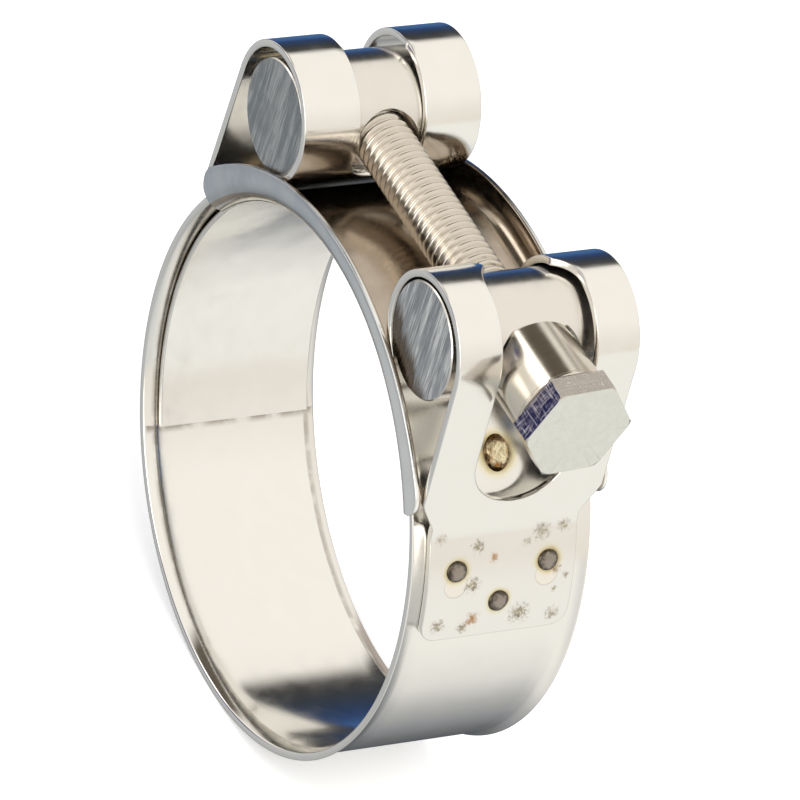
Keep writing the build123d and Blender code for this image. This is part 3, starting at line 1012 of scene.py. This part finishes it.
def make_bridge():
    """The channel over the gap with the tongue that runs on inside the band."""
    floor = [0.0, 2.2, 4.4, 6.5, 8.0, 8.4] + [TONGUE_HALF_WIDTH - d for d in EDGE_STEPS[::-1]]
    tongue_rows = len(floor)
    floor += [9.2, BRIDGE_WALL_Y - BRIDGE_BEND]
    radius = EDGE_STEPS[-1]
    half_wall = BRIDGE_THICKNESS / 2
    angles = [BRIDGE_HEAD_ANGLE * k / 80 for k in range(81)]
    angles += [-BRIDGE_NUT_ANGLE * k / 80 for k in range(1, 81)]
    for k in range(12):
        left = math.degrees(BRIDGE_CORNER * (1 - math.cos(math.radians(90 * k / 12))) / 30.5)
        angles += [BRIDGE_HEAD_ANGLE - left, left - BRIDGE_NUT_ANGLE]
    for step in EDGE_STEPS:
        left = math.degrees(step / 27.5)
        angles += [BRIDGE_HEAD_ANGLE - left, left - BRIDGE_NUT_ANGLE]
    angles = sorted(set(round(a, 4) for a in angles))
    sheet, faces = [], []
    bend_steps, wall_steps = 10, 6
    for angle in angles:
        from_end = math.radians(bridge_end(angle) - abs(angle)) * 27.5
        section = [(y, BRIDGE_FLOOR, 0.0, 1.0, 9.0) for y in floor]
        for k in range(1, bend_steps + 1):
            a = math.radians(90 * k / bend_steps)
            y = BRIDGE_WALL_Y - BRIDGE_BEND + BRIDGE_BEND * math.sin(a)
            out = BRIDGE_FLOOR + BRIDGE_BEND * (1 - math.cos(a))
            section.append((y, out, -math.sin(a), math.cos(a), 9.0))
        base, top = BRIDGE_FLOOR + BRIDGE_BEND, wall_top(angle)
        heights = [base + (top - radius - base) * k / wall_steps for k in range(1, wall_steps)]
        heights += [top - d for d in EDGE_STEPS[::-1]]
        for height in heights:
            burr = 0.08 * smooth(0.5, 0.0, top - height)
            section.append((BRIDGE_WALL_Y + burr, height, -1.0, 0.0, top - height))
        for half in (1, -1):
            for row, (y, out, side, up, from_top) in enumerate(section):
                near_end = from_end
                if angle < 0 and row < tongue_rows:
                    near_end = 9.0
                drop = max(edge_drop(near_end, radius), edge_drop(from_top, radius))
                x, z = around(1.0, angle)
                point = (x * (out - up * half_wall), half * (y - side * half_wall), z * (out - up * half_wall))
                sheet.append((point, (x * up, half * side, z * up), drop))
    rows = len(section)
    for i in range(len(angles) - 1):
        for half in (0, 1):
            for row in range(rows - 1):
                a = (i * 2 + half) * rows + row
                b = a + 2 * rows
                face = (a, b, b + 1, a + 1)
                faces.append(face if half else face[::-1])
    start, steps = len(sheet), 70
    ends = [-TONGUE_END_ANGLE + math.degrees(step / 27.5) for step in EDGE_STEPS]
    run = TONGUE_END_ANGLE - BRIDGE_NUT_ANGLE - 0.4
    angles = [-BRIDGE_NUT_ANGLE - run * k / steps for k in range(steps + 1)] + ends[::-1]
    for angle in angles:
        from_end = math.radians(TONGUE_END_ANGLE + angle) * 27.5
        x, z = around(1.0, angle)
        base = BRIDGE_FLOOR - half_wall
        for half in (1, -1):
            for y in floor[:tongue_rows]:
                from_side = TONGUE_HALF_WIDTH - y if angle < -BRIDGE_NUT_ANGLE else 9.0
                drop = max(edge_drop(from_end, radius), edge_drop(from_side, radius))
                sheet.append(((x * base, half * y, z * base), (x, 0.0, z), drop))
    for i in range(len(angles) - 1):
        for half in (0, 1):
            for row in range(tongue_rows - 1):
                a = start + (i * 2 + half) * tongue_rows + row
                b = a + 2 * tongue_rows
                face = (a, b, b + 1, a + 1)
                faces.append(face[::-1] if half else face)
    return make_shell("channel_bridge", sheet, faces, BRIDGE_THICKNESS, [CHANNEL])


def lathe(profile, segments, place):
    """Points and faces of a turned shape. place(along, out, turn) gives a point."""
    points, faces = [], []
    rings = []
    for along, out in profile:
        if out < 1e-6:
            rings.append([len(points)] * segments)
            points.append(place(along, 0.0, 0.0))
            continue
        rings.append(list(range(len(points), len(points) + segments)))
        for k in range(segments):
            points.append(place(along, out, 2 * math.pi * k / segments))
    for i in range(len(rings) - 1):
        for k in range(segments):
            n = (k + 1) % segments
            face = [rings[i][k], rings[i][n], rings[i + 1][n], rings[i + 1][k]]
            face = list(dict.fromkeys(face))
            if len(face) > 2:
                faces.append(tuple(face))
    return points, faces


def along_bolt(along, out, turn):
    return (along, out * math.cos(turn), BAR_Z + out * math.sin(turn))


def cutter(profile):
    points, faces = lathe(profile, 96, along_bolt)
    return make_piece("cutter", points, faces, [])


def apply_boolean(piece, tool, operation):
    step = piece.modifiers.new("cut", "BOOLEAN")
    step.operation = operation
    step.solver = "EXACT"
    step.object = tool
    bake_modifiers(piece)
    tool_mesh = tool.data
    bpy.data.objects.remove(tool)
    bpy.data.meshes.remove(tool_mesh)


def bar_normals(piece, side):
    """True normals for the turned face, the drilled holes and the sawn ends."""
    mesh = piece.data
    axis_x = side * BAR_X
    normals = [Vector((0, 0, 1))] * len(mesh.loops)
    for polygon in mesh.polygons:
        polygon.use_smooth = True
        centre = polygon.center / MM
        flat = Vector((centre.x - axis_x, 0, centre.z - BAR_Z))
        sideways = abs(polygon.normal.y)
        on_round = abs(flat.length - BAR_RADIUS) < 0.06 and sideways < 0.2
        from_bolt = Vector((0, centre.y, centre.z - BAR_Z))
        in_hole = abs(polygon.normal.x) < 0.2 and not on_round and abs(centre.y) < 6
        for k in polygon.loop_indices:
            place = mesh.vertices[mesh.loops[k].vertex_index].co / MM
            if on_round:
                normal = Vector((place.x - axis_x, 0, place.z - BAR_Z)).normalized()
            elif in_hole and from_bolt.length > 1:
                normal = -Vector((0, place.y, place.z - BAR_Z)).normalized()
            else:
                normal = polygon.normal.copy()
            normals[k] = normal
    mesh.normals_split_custom_set(normals)


def make_bar(name, side, hole_profile):
    half = BAR_HALF_LENGTH
    flat = BAR_RADIUS - BAR_CHAMFER
    profile = [(-half, 0.0), (-half, flat)]
    profile += [(-half + BAR_CHAMFER, BAR_RADIUS), (half - BAR_CHAMFER, BAR_RADIUS)]
    profile += [(half, flat), (half, 0.0)]
    points, faces = lathe(
        profile,
        192,
        lambda along, out, turn: (
            side * BAR_X + out * math.cos(turn),
            along,
            BAR_Z + out * math.sin(turn),
        ),
    )
    bar = make_piece(name, points, faces, [BAR, SAWN])
    for polygon in bar.data.polygons:
        if abs(polygon.normal.y) > 0.9:
            polygon.material_index = 1
    apply_boolean(bar, cutter(hole_profile), "DIFFERENCE")
    bar_normals(bar, side)
    return bar


def make_sleeve():
    start, end = SLEEVE_X, SLEEVE_X + SLEEVE_LENGTH
    outer, bore = SLEEVE_RADIUS, SLEEVE_BORE
    profile = [(start, bore), (start, outer - 0.06), (start + 0.06, outer)]
    profile += [(end - 0.42, outer), (end - 0.4, outer - 0.05), (end - 0.34, outer - 0.05)]
    profile += [(end - 0.32, outer), (end - 0.12, outer), (end, outer - 0.14)]
    profile += [(end, bore), (start, bore)]
    points, faces = lathe(profile, 160, along_bolt)
    sleeve = make_piece("spacer_tube", points, faces, [SLEEVE])
    shade_by_angle(sleeve, 30.0)
    return sleeve


def thread_tree():
    """A threaded rod along X: a cylinder whose radius follows a right-hand helix."""
    tree, entry, leave = new_group(
        "threaded_rod",
        [
            ("Start", "NodeSocketFloat", 0.0),
            ("Length", "NodeSocketFloat", 0.05),
            ("Height", "NodeSocketFloat", 0.0),
            ("Crest Radius", "NodeSocketFloat", 0.003),
            ("Root Radius", "NodeSocketFloat", 0.0025),
            ("Pitch", "NodeSocketFloat", 0.001),
            ("Tip Radius", "NodeSocketFloat", 0.002),
            ("Steps per Turn", "NodeSocketInt", 12),
            ("Material", "NodeSocketMaterial", None),
        ],
        [("Geometry", "NodeSocketGeometry")],
        "GeometryNodeTree",
    )
    size = entry.outputs
    turns = math_node(tree, "DIVIDE", size["Length"], size["Pitch"])
    steps = math_node(tree, "ROUND", math_node(tree, "MULTIPLY", turns, size["Steps per Turn"]))
    rod = add_node(
        tree,
        "GeometryNodeMeshCylinder",
        {"Vertices": 56, "Side Segments": steps, "Radius": 1.0, "Depth": size["Length"]},
    )
    place = tree.nodes.new("GeometryNodeInputPosition").outputs[0]
    parts = add_node(tree, "ShaderNodeSeparateXYZ", {0: place})
    along = math_node(tree, "MULTIPLY_ADD", size["Length"], 0.5, parts.outputs[2])
    x = math_node(tree, "ADD", along, size["Start"])
    turn = math_node(tree, "ARCTAN2", parts.outputs[1], parts.outputs[0])
    rise = math_node(tree, "MULTIPLY", math_node(tree, "DIVIDE", x, size["Pitch"]), 2 * math.pi)
    wave = math_node(tree, "COSINE", math_node(tree, "SUBTRACT", rise, turn))
    crest = math_node(tree, "POWER", math_node(tree, "MULTIPLY_ADD", wave, 0.5, 0.5), 0.8)
    depth = math_node(tree, "SUBTRACT", size["Crest Radius"], size["Root Radius"])
    radius = math_node(tree, "MULTIPLY_ADD", crest, depth, size["Root Radius"])
    taper = math_node(tree, "MULTIPLY_ADD", along, 1.1, size["Tip Radius"])
    radius = math_node(tree, "MINIMUM", radius, taper)
    side = math_node(tree, "MULTIPLY", radius, math_node(tree, "COSINE", turn))
    up = math_node(tree, "MULTIPLY_ADD", radius, math_node(tree, "SINE", turn), size["Height"])
    moved = add_node(tree, "ShaderNodeCombineXYZ", {0: x, 1: side, 2: up})
    shaped = add_node(
        tree, "GeometryNodeSetPosition", {"Geometry": rod.outputs["Mesh"], "Position": moved.outputs[0]}
    )
    whole = add_node(tree, "GeometryNodeRealizeInstances", {"Geometry": shaped.outputs[0]})
    coated = add_node(
        tree,
        "GeometryNodeSetMaterial",
        {"Geometry": whole.outputs[0], "Material": size["Material"]},
    )
    tree.links.new(coated.outputs[0], leave.inputs[0])
    return tree


def spots_tree():
    """Three weld beads on a tail: two side by side and one between them, further down."""
    tree, entry, leave = new_group(
        "weld_beads",
        [
            ("Tail Radius", "NodeSocketFloat", 0.03),
            ("Side Angle", "NodeSocketFloat", 1.2),
            ("Middle Angle", "NodeSocketFloat", 1.3),
            ("Side Offset", "NodeSocketFloat", 0.005),
            ("Mirror", "NodeSocketFloat", 1.0),
            ("Bead Radius", "NodeSocketFloat", 0.001),
            ("Bead Rise", "NodeSocketFloat", 0.0005),
            ("Unevenness", "NodeSocketFloat", 0.00005),
            ("Seed", "NodeSocketFloat", 0.0),
            ("Material", "NodeSocketMaterial", None),
        ],
        [("Geometry", "NodeSocketGeometry")],
        "GeometryNodeTree",
    )
    size = entry.outputs
    spots = add_node(tree, "GeometryNodeMeshLine", {"Count": 3})
    index = tree.nodes.new("GeometryNodeInputIndex").outputs[0]
    step = math_node(tree, "SUBTRACT", index, 1.0)
    middle = math_node(tree, "SUBTRACT", 1.0, math_node(tree, "ABSOLUTE", step))
    further = math_node(tree, "SUBTRACT", size["Middle Angle"], size["Side Angle"])
    angle = math_node(tree, "MULTIPLY_ADD", middle, further, size["Side Angle"])
    angle = math_node(tree, "MULTIPLY", angle, size["Mirror"])
    x = math_node(tree, "MULTIPLY", size["Tail Radius"], math_node(tree, "SINE", angle))
    z = math_node(tree, "MULTIPLY", size["Tail Radius"], math_node(tree, "COSINE", angle))
    y = math_node(tree, "MULTIPLY", step, size["Side Offset"])
    spread = add_node(tree, "ShaderNodeCombineXYZ", {0: x, 1: y, 2: z})
    spots = add_node(
        tree, "GeometryNodeSetPosition", {"Geometry": spots.outputs[0], "Position": spread.outputs[0]}
    )
    ball = add_node(tree, "GeometryNodeMeshUVSphere", {"Segments": 48, "Rings": 32, "Radius": 1.0})
    shape = add_node(
        tree,
        "ShaderNodeCombineXYZ",
        {0: size["Bead Radius"], 1: size["Bead Radius"], 2: size["Bead Rise"]},
    )
    lean = add_node(tree, "ShaderNodeCombineXYZ", {1: angle})
    beads = add_node(
        tree,
        "GeometryNodeInstanceOnPoints",
        {
            "Points": spots.outputs[0],
            "Instance": ball.outputs[0],
            "Rotation": lean.outputs[0],
            "Scale": shape.outputs[0],
        },
    )
    whole = add_node(tree, "GeometryNodeRealizeInstances", {"Geometry": beads.outputs[0]})
    bumps = add_node(
        tree,
        "ShaderNodeTexNoise",
        {"W": size["Seed"], "Scale": 900.0, "Detail": 1.0},
        noise_dimensions="4D",
    ).outputs["Fac"]
    push = math_node(tree, "MULTIPLY", math_node(tree, "SUBTRACT", bumps, 0.5), size["Unevenness"])
    facing = tree.nodes.new("GeometryNodeInputNormal").outputs[0]
    offset = add_node(tree, "ShaderNodeVectorMath", {0: facing, "Scale": push}, operation="SCALE")
    uneven = add_node(
        tree, "GeometryNodeSetPosition", {"Geometry": whole.outputs[0], "Offset": offset.outputs[0]}
    )
    coated = add_node(
        tree,
        "GeometryNodeSetMaterial",
        {"Geometry": uneven.outputs[0], "Material": size["Material"]},
    )
    tree.links.new(coated.outputs[0], leave.inputs[0])
    return tree


def grow(name, tree, values):
    """A plain mesh from a geometry tree, with its inputs set by their identifiers."""
    piece = bpy.data.objects.new(name, bpy.data.meshes.new(name))
    bpy.context.scene.collection.objects.link(piece)
    step = piece.modifiers.new("grow", "NODES")
    step.node_group = tree
    for item in tree.interface.items_tree:
        if item.in_out == "INPUT" and item.name in values:
            step[item.identifier] = values[item.name]
    bake_modifiers(piece)
    return piece


def make_shank():
    shank = grow(
        "shank",
        thread_tree(),
        {
            "Start": BOLT_TIP_X * MM,
            "Length": (HEAD_SEAT_X - BOLT_TIP_X) * MM,
            "Height": BAR_Z * MM,
            "Crest Radius": THREAD_CREST * MM,
            "Root Radius": THREAD_ROOT * MM,
            "Pitch": THREAD_PITCH * MM,
            "Tip Radius": (THREAD_ROOT - 0.2) * MM,
            "Material": THREAD,
        },
    )
    shade_by_angle(shank, 70.0)
    return shank


def make_bolt():
    corner = HEAD_FLATS / 2 / math.cos(math.radians(30))
    seat = HEAD_SEAT_X + 0.4
    points = []
    for x in (seat, HEAD_TOP_X):
        for k in range(6):
            points.append(along_bolt(x, corner, math.radians(HEAD_TURN + 60 * k)))
    faces = [tuple(reversed(range(6))), tuple(range(6, 12))]
    faces += [(k, (k + 1) % 6, 6 + (k + 1) % 6, 6 + k) for k in range(6)]
    head = make_piece("bolt_head", points, faces, [HEAD])
    top = corner * 0.945
    drop = (corner - top) * math.tan(math.radians(30))
    cone = [(seat - 1, 0.0), (seat - 1, corner + 0.5), (HEAD_TOP_X - drop, corner + 0.01)]
    cone += [(HEAD_TOP_X, top), (HEAD_TOP_X, 0.0)]
    cone_points, cone_faces = lathe(cone, 144, along_bolt)
    apply_boolean(head, make_piece("cutter", cone_points, cone_faces, [HEAD]), "INTERSECT")
    soften = head.modifiers.new("soften", "BEVEL")
    soften.width = 0.06 * MM
    soften.segments = 2
    soften.limit_method = "ANGLE"
    soften.angle_limit = math.radians(15.0)
    bake_modifiers(head)
    keep_flats_flat(head)
    face = [(HEAD_SEAT_X, 0.0), (HEAD_SEAT_X, 4.5), (HEAD_SEAT_X + 0.1, 4.6)]
    face += [(seat + 0.05, 4.6), (seat + 0.05, 0.0)]
    face_points, face_faces = lathe(face, 96, along_bolt)
    washer = make_piece("washer_face", face_points, face_faces, [HEAD])
    shade_by_angle(washer, 30.0)
    return join("hexagon_bolt", [head, washer, make_shank()])


def keep_flats_flat(piece):
    """Normals by area, so that rounded edges don't bend the shading of the large flats."""
    for polygon in piece.data.polygons:
        polygon.use_smooth = True
    weigh = piece.modifiers.new("weigh", "WEIGHTED_NORMAL")
    weigh.mode = "FACE_AREA"
    weigh.weight = 100
    weigh.keep_sharp = True
    bake_modifiers(piece)


def join(name, parts):
    """One mesh from several, each keeping its materials."""
    with bpy.context.temp_override(
        active_object=parts[0], selected_editable_objects=parts, object=parts[0]
    ):
        bpy.ops.object.join()
    parts[0].name = name
    parts[0].data.name = name
    return parts[0]


def bead(radius, angle, side, profile, stretch, seed, lump):
    """A small blob of weld metal that sits on the strip at this angle."""
    x, z = around(1.0, angle)
    out, along, across = Vector((x, 0, z)), Vector((z, 0, -x)), Vector((0, 1, 0))
    base = out * radius + across * side

    def place(rise, wide, turn):
        spread = along * (wide * math.cos(turn) * stretch) + across * (wide * math.sin(turn))
        ripple = noise.noise(Vector((spread.x * 1.3 + seed, spread.y * 1.3, spread.z * 1.3)))
        drop = spread.dot(along) ** 2 / (2 * radius)
        return tuple(base + spread + out * (rise + ripple * lump * min(rise, 0.4) - drop))

    return lathe(profile, 48, place)


def make_beads(name, angle_sign):
    piece = grow(
        name,
        WELD_BEADS,
        {
            "Tail Radius": TAIL_OUTER * MM,
            "Side Angle": math.radians(WELD_ANGLE),
            "Middle Angle": math.radians(WELD_MIDDLE_ANGLE),
            "Side Offset": WELD_SIDE * MM,
            "Mirror": float(angle_sign),
            "Bead Radius": BEAD_RADIUS * MM,
            "Bead Rise": BEAD_RISE * MM,
            "Unevenness": 0.16 * MM,
            "Seed": 3.0,
            "Material": SPOT_WELD,
        },
    )
    shade_by_angle(piece, 80.0)
    return piece


def make_root(name, angle_sign):
    profile = [(-0.06, 1.4), (0.05, 1.36), (0.16, 1.28), (0.36, 1.15), (0.52, 0.95)]
    profile += [(0.6, 0.72), (0.62, 0.52), (0.56, 0.36), (0.5, 0.2), (0.49, 0.0)]
    points, faces = bead(RING_OUTER, angle_sign * ROOT_ANGLE, 0.0, profile, 1.36, 11.0, 0.55)
    piece = make_piece(name, points, faces, [ROOT_WELD])
    shade_by_angle(piece, 80.0)
    return piece


# Pieces, their bodies and what they stand for
WELD_BEADS = spots_tree()

band = make_band()
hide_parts("band")
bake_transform(band)

bridge = make_bridge()
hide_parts("bridge")
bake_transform(bridge)

head_hole = [(0.0, 0.0), (0.0, HOLE_RADIUS), (SLEEVE_X, HOLE_RADIUS), (SLEEVE_X, SLEEVE_HOLE)]
head_hole += [(40.0, SLEEVE_HOLE), (40.0, 0.0)]
head_bar = make_bar("head_cross_bar", 1, head_hole)
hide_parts("head_bar")
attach(head_bar, "head_bar")

mouth = -BAR_X + BAR_RADIUS - 1.6
nut_hole = [(-40.0, 0.0), (-40.0, HOLE_RADIUS), (mouth, HOLE_RADIUS), (mouth, 3.6)]
nut_hole += [(0.0, 3.6), (0.0, 0.0)]
nut_bar = make_bar("nut_cross_bar", -1, nut_hole)
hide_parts("nut_bar")
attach(nut_bar, "nut_bar")

sleeve = make_sleeve()
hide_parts("spacer_sleeve")
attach(sleeve, "head_bar")

bolt = make_bolt()
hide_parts("bolt")
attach(bolt, "bolt")

for node, body, sign in (("head_tail_welds", "head_end", 1), ("nut_tail_welds", "nut_end", -1)):
    beads = make_beads(node + "_beads", sign)
    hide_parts(node)
    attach(beads, body)

for node, body, sign in (("head_root_weld", "head_end", 1), ("nut_root_weld", "nut_end", -1)):
    nugget = make_root(node + "_nugget", sign)
    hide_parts(node)
    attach(nugget, body)


# Floor, studio surroundings, lamps and camera


def make_floor():
    mesh = bpy.data.meshes.new("studio_floor")
    half, height = 3.0, -0.02935
    corners = [(-half, -half, height), (half, -half, height), (half, half, height), (-half, half, height)]
    mesh.from_pydata(corners, [], [(0, 1, 2, 3)])
    floor = bpy.data.objects.new("studio_floor", mesh)
    bpy.context.scene.collection.objects.link(floor)
    material = bpy.data.materials.new("pale_floor")
    material.use_nodes = True
    tree = material.node_tree
    tree.nodes.clear()
    path = tree.nodes.new("ShaderNodeLightPath")
    lit = add_node(tree, "ShaderNodeBsdfDiffuse", {"Color": (0.9, 0.9, 0.9, 1.0)})
    glow = add_node(tree, "ShaderNodeEmission", {"Color": (1, 1, 1, 1), "Strength": 0.3})
    both = add_node(tree, "ShaderNodeAddShader", {0: lit.outputs[0], 1: glow.outputs[0]})
    seen = add_node(
        tree,
        "ShaderNodeMixShader",
        {0: path.outputs["Is Camera Ray"], 1: lit.outputs[0], 2: both.outputs[0]},
    )
    add_node(tree, "ShaderNodeOutputMaterial", {"Surface": seen.outputs[0]})
    mesh.materials.append(material)
    floor.visible_glossy = False
    return floor


def make_world():
    """White to the camera. Metal sees pale soft boxes, a blue backdrop and a grey table."""
    world = bpy.data.worlds.new("studio")
    bpy.context.scene.world = world
    world.use_nodes = True
    tree = world.node_tree
    tree.nodes.clear()
    way = tree.nodes.new("ShaderNodeTexCoord").outputs["Generated"]
    parts = add_node(tree, "ShaderNodeSeparateXYZ", {0: way})
    x, y, z = parts.outputs
    upper = ramp_node(
        tree,
        z,
        [
            (0.0, (0.92, 0.865, 0.785)),
            (0.3, (0.97, 0.925, 0.86)),
            (0.6, (1.06, 1.02, 0.95)),
            (1.0, (1.06, 1.02, 0.95)),
        ],
    )
    across = math_node(tree, "MULTIPLY_ADD", x, 0.5, 0.5)
    lower = ramp_node(
        tree,
        across,
        [
            (0.2, (0.07, 0.08, 0.1)),
            (0.35, (0.16, 0.165, 0.17)),
            (0.465, (0.3, 0.31, 0.325)),
            (0.59, (0.5, 0.5, 0.495)),
            (0.7, (0.84, 0.83, 0.79)),
            (0.83, (1.0, 0.985, 0.93)),
        ],
    )
    near_left = between(tree, y, 0.1, -0.35)
    table = ramp_node(
        tree,
        math_node(tree, "ADD", z, 1.0),
        [
            (0.2, (0.5, 0.5, 0.49)),
            (0.36, (0.56, 0.57, 0.575)),
            (0.5, (0.64, 0.65, 0.65)),
            (0.75, (0.74, 0.74, 0.72)),
        ],
    )
    lower = mix_colour(tree, math_node(tree, "MULTIPLY", near_left, 0.9), lower, table)
    colour = mix_colour(tree, between(tree, z, -0.02, -0.12), upper, lower)
    backdrop = ramp_node(
        tree,
        math_node(tree, "ADD", z, 0.5),
        [
            (0.1, (0.07, 0.16, 0.33)),
            (0.4, (0.05, 0.12, 0.3)),
            (0.55, (0.025, 0.055, 0.15)),
            (0.8, (0.035, 0.045, 0.06)),
            (1.0, (0.06, 0.055, 0.05)),
        ],
    )
    behind = math_node(tree, "MULTIPLY", between(tree, x, -0.42, -0.6), between(tree, y, -0.1, 0.2))
    behind = math_node(tree, "MULTIPLY", behind, between(tree, z, 0.62, 0.48))
    behind = math_node(tree, "MULTIPLY", behind, between(tree, z, -0.66, -0.45))
    behind = math_node(tree, "MULTIPLY", behind, between(tree, y, 0.66, 0.56))
    beside = math_node(tree, "MULTIPLY", between(tree, y, 0.56, 0.66), between(tree, z, 0.5, 0.3))
    beside = math_node(tree, "MULTIPLY", beside, between(tree, x, -0.4, -0.52))
    colour = mix_colour(tree, beside, colour, (0.47, 0.41, 0.36))
    colour = mix_colour(tree, behind, colour, backdrop)
    left = math_node(tree, "MULTIPLY", between(tree, y, -0.42, -0.58), between(tree, x, -0.1, -0.28))
    left = math_node(tree, "MULTIPLY", left, between(tree, z, 0.2, 0.12))
    left = math_node(tree, "MULTIPLY", left, between(tree, z, -0.42, -0.28))
    colour = mix_colour(tree, left, colour, (0.03, 0.035, 0.17))
    flag = add_node(
        tree,
        "ShaderNodeVectorMath",
        {0: way, 1: (-0.637, -0.04, 0.77)},
        operation="DOT_PRODUCT",
    ).outputs["Value"]
    colour = mix_colour(tree, between(tree, flag, 0.885, 0.955), colour, (0.12, 0.1, 0.075))
    for aim, low, high, glow in (
        ((-0.635, -0.5, 0.59), 0.968, 0.988, (2.6, 2.5, 2.35)),
        ((0.29, -0.94, 0.17), 0.9, 0.95, (2.6, 2.5, 2.35)),
    ):
        lamp = add_node(
            tree, "ShaderNodeVectorMath", {0: way, 1: aim}, operation="DOT_PRODUCT"
        ).outputs["Value"]
        colour = mix_colour(tree, between(tree, lamp, low, high), colour, glow)
    path = tree.nodes.new("ShaderNodeLightPath")
    seen = mix_colour(tree, path.outputs["Is Glossy Ray"], (0.8, 0.8, 0.8), colour)
    seen = mix_colour(tree, path.outputs["Is Camera Ray"], seen, (1.0, 1.0, 1.0))
    shine = add_node(tree, "ShaderNodeBackground", {"Color": seen, "Strength": 1.0})
    add_node(tree, "ShaderNodeOutputWorld", {"Surface": shine.outputs[0]})


def make_lamp(name, place, size, watts):
    lamp = bpy.data.lights.new(name, "AREA")
    lamp.shape = "SQUARE"
    lamp.size = size
    lamp.energy = watts
    obj = bpy.data.objects.new(name, lamp)
    obj.location = place
    obj.rotation_mode = "QUATERNION"
    obj.rotation_quaternion = (-Vector(place)).to_track_quat("-Z", "Y")
    obj.visible_glossy = False
    bpy.context.scene.collection.objects.link(obj)


def make_camera():
    """The view solved from the photograph's outlines."""
    camera = bpy.data.cameras.new("camera")
    camera.sensor_width = 36.0
    camera.lens = 343.4
    camera.shift_x = 0.0080
    camera.shift_y = 0.0055
    camera.clip_start = 0.05
    camera.clip_end = 20.0
    obj = bpy.data.objects.new("camera", camera)
    right = Vector((0.42014181, 0.87646038, 0.23515541))
    down = Vector((0.64642794, -0.10719633, -0.75540709))
    forward = Vector((-0.63687658, 0.46938913, -0.61160613))
    turn = Matrix((right, -down, -forward)).transposed().to_4x4()
    obj.matrix_world = Matrix.Translation(Vector((0.488398, -0.357950, 0.476242))) @ turn
    bpy.context.scene.collection.objects.link(obj)
    bpy.context.scene.camera = obj


make_floor()
make_world()
make_lamp("soft_key", (0.5, -0.1, 0.7), 0.5, 4.0)
make_lamp("soft_fill", (-0.4, -0.6, 0.5), 0.6, 1.5)
make_camera()
bpy.context.scene.view_settings.view_transform = "Standard"
